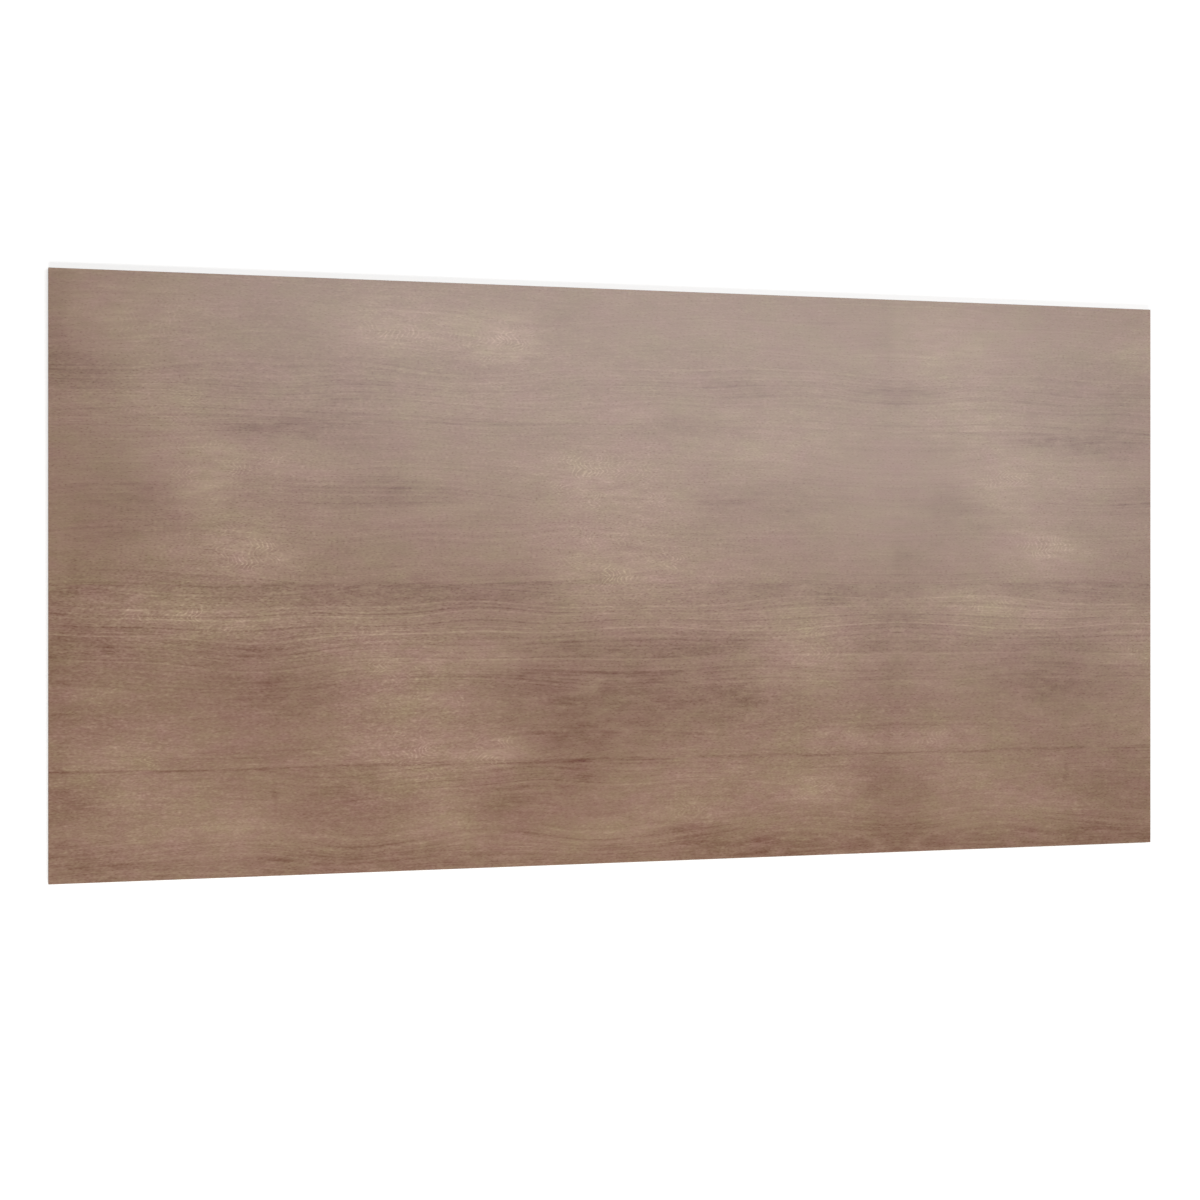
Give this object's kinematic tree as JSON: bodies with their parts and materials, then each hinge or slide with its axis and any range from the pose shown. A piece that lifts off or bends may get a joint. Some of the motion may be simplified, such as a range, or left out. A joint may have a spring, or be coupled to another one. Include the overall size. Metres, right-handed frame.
{
  "type": "plywood sheet",
  "caption": "Flat rectangular plywood sheet with a figured brown hardwood face veneer, sawn square on all sides, for panels, furniture and lining.",
  "frame": {"origin": "middle of the back face, at the level of the floor that the sheet lies on", "axes": "+X along the length and the face grain, +Y across the width, +Z through the thickness, out of the good face"},
  "size_m": [2.44, 1.22, 0.018],
  "materials": {
    "veneered_plywood": "satin"
  },
  "bodies": {
    "root": {"plywood_sheet": "veneered_plywood"}
  },
  "joints": []
}
